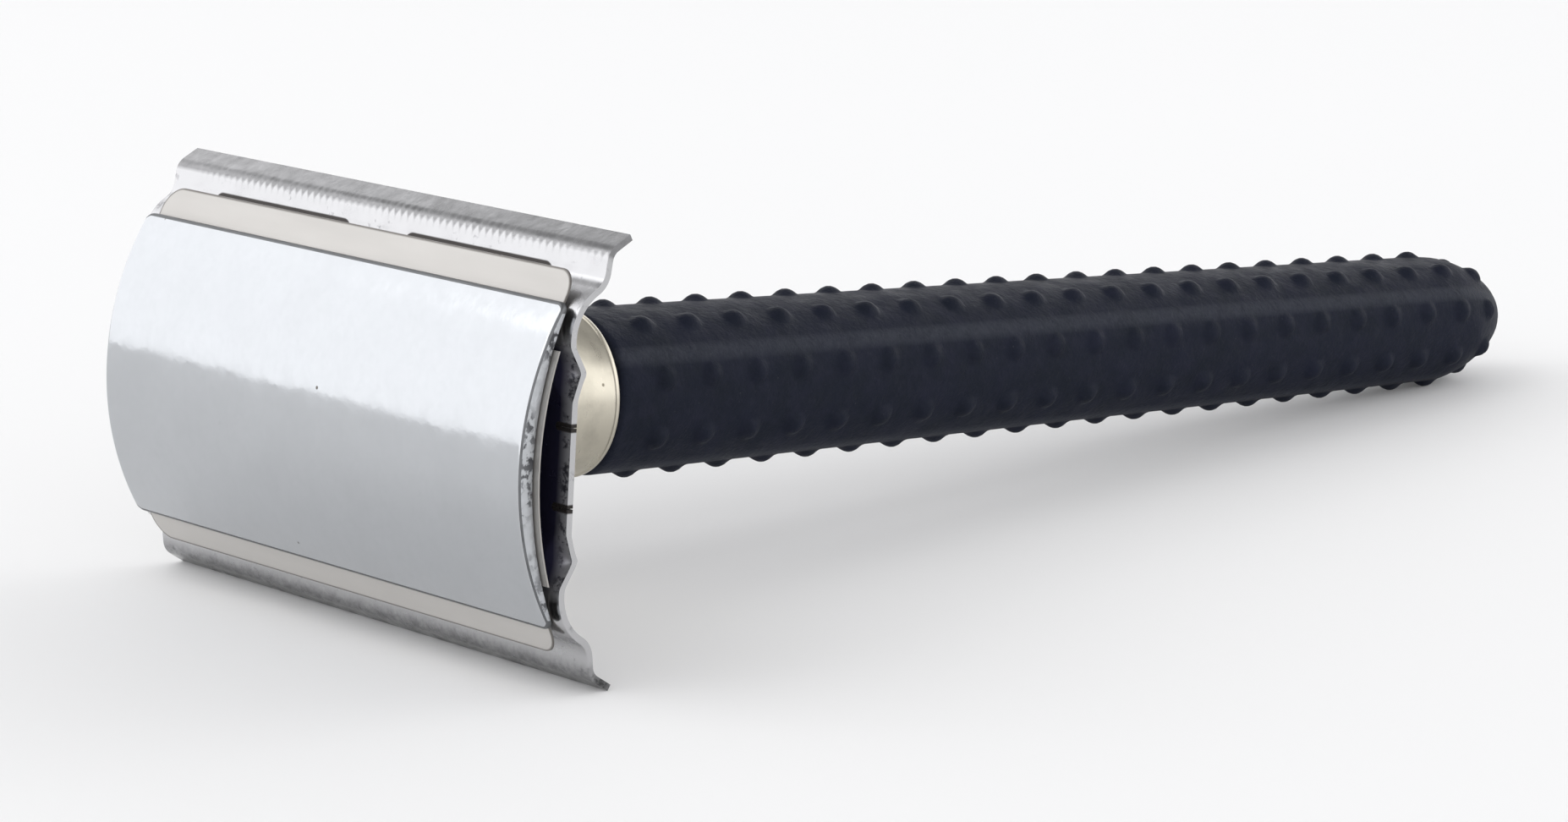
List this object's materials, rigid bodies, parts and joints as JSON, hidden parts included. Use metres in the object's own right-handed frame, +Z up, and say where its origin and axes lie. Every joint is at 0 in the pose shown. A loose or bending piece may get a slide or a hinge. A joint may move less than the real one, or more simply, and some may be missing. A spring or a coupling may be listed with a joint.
{
  "type": "safety razor",
  "caption": "Three-piece double-edge safety razor with a convex chromed cap, a guard with drain slots, a short metal neck and a black rubber grip with bumps.",
  "frame": {"origin": "middle of the razor's bounding box, on the surface it lies on", "axes": "+Z up as it lies, +Y along the handle from the head to the butt, +X along the blade"},
  "size_m": [0.0396, 0.103, 0.0249],
  "materials": {
    "chrome_cap": "polished",
    "stud_steel": "turned",
    "pin_steel": "polished",
    "blade_steel": "ground",
    "plate_chrome": "polished",
    "neck_nickel": "satin",
    "bush_brass": "turned",
    "core_aluminium": "plain",
    "grip_rubber": "soft satin",
    "plug_plastic": "plain"
  },
  "bodies": {
    "handle": {"neck": "neck_nickel", "thread_bush": "bush_brass", "handle_core": "core_aluminium", "grip": "grip_rubber", "core_plug": "plug_plastic"},
    "base": {"base_plate": "plate_chrome"},
    "cap": {"cap": "chrome_cap", "stud": "stud_steel", "stud_collar": "stud_steel", "pin_left": "pin_steel", "pin_right": "pin_steel"},
    "blade": {"blade": "blade_steel"}
  },
  "joints": [
    {"name": "head_turn", "type": "hinge", "parent": "handle", "child": "base", "pos_m": [0, -0.04804, 0.01274], "axis": [0, -0.9961, 0.0887], "range_deg": [0, 1800]},
    {"name": "cap_lift", "type": "slide", "parent": "base", "child": "cap", "axis": [0, -0.9961, 0.0887], "range_m": [0, 0.00401]},
    {"name": "blade_lift", "type": "slide", "parent": "base", "child": "blade", "axis": [0, -0.9961, 0.0887], "range_m": [0, 0.00201]}
  ],
  "couplings": [
    {"joint": "cap_lift", "follows": "head_turn", "m_per_rad": 0.00012732},
    {"joint": "blade_lift", "follows": "head_turn", "m_per_rad": 0.000063662}
  ]
}
